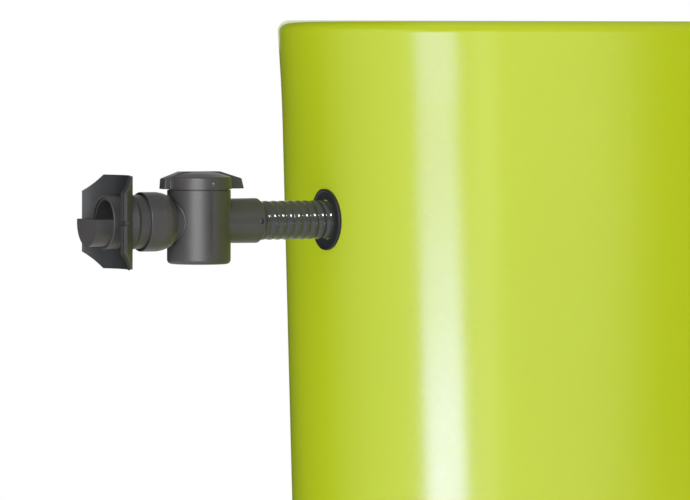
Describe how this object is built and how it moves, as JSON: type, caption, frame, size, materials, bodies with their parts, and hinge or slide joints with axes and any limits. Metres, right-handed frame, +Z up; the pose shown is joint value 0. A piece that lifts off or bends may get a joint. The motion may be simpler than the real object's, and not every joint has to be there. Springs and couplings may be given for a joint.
{
  "type": "rain barrel",
  "caption": "Round tapered rain barrel with a drop-in lid, a ball tap and a side filler: a rain diverter with filter on a downpipe saddle, joined by a short ribbed hose and a grommet.",
  "frame": {"origin": "centre of the barrel's base, on the floor", "axes": "+Z up; the filler runs out of the wall along -X; the tap is on the -Y side"},
  "size_m": [0.9852, 0.8037, 1],
  "materials": {
    "lime_plastic": "glossy moulded polyethylene, lime green",
    "dark_plastic": "satin moulded plastic, warm dark grey",
    "hose_plastic": "glossy spiral-ribbed hose, dark grey-green",
    "black_rubber": "soft black rubber",
    "stainless_steel": "plain stainless steel",
    "strainer_plastic": "mid-grey moulded plastic",
    "seat_plastic": "white sealing plastic"
  },
  "bodies": {
    "barrel": {"barrel_shell": "lime_plastic", "wall_grommet": "black_rubber", "filler_hose": "hose_plastic", "hose_ferrule": "dark_plastic", "filter_housing": "dark_plastic", "cap_seal": "black_rubber", "union_collar": "dark_plastic", "collar_seal": "black_rubber", "pipe_saddle": "dark_plastic", "saddle_pad": "black_rubber", "spigot_seal": "black_rubber", "catch_scoop": "dark_plastic", "tap_body": "dark_plastic", "tap_end_plug": "dark_plastic", "plug_seal": "black_rubber", "ball_seats": "seat_plastic", "spindle_seal": "black_rubber", "tap_outer_gasket": "black_rubber", "tap_inner_gasket": "black_rubber", "tap_back_nut": "dark_plastic", "hose_tail": "dark_plastic", "tail_nut": "dark_plastic", "tail_washer": "black_rubber"},
    "lid": {"barrel_lid": "lime_plastic", "lid_handle": "dark_plastic", "lid_handle_screws": "stainless_steel"},
    "filter_insert": {"filter_basket": "strainer_plastic"},
    "cap": {"filter_cap": "dark_plastic", "shutter_sleeve": "dark_plastic", "basket_pin": "stainless_steel"},
    "tap_handle": {"tap_lever": "dark_plastic", "tap_spindle": "stainless_steel", "tap_ball": "stainless_steel", "lever_screw": "stainless_steel"}
  },
  "joints": [
    {"name": "lid_lift", "type": "slide", "parent": "barrel", "child": "lid", "axis": [0, 0, 1], "range_m": [0, 0.15]},
    {"name": "filter_lift", "type": "slide", "parent": "barrel", "child": "filter_insert", "axis": [0, 0, 1], "range_m": [0, 0.09]},
    {"name": "cap_turn", "type": "hinge", "parent": "filter_insert", "child": "cap", "pos_m": [-0.49824, 0, 0.817], "axis": [0, 0, 1], "range_deg": [0, 90]},
    {"name": "tap_turn", "type": "hinge", "parent": "barrel", "child": "tap_handle", "pos_m": [0, -0.38409, 0.112], "axis": [0, 0, -1], "range_deg": [0, 90]}
  ]
}
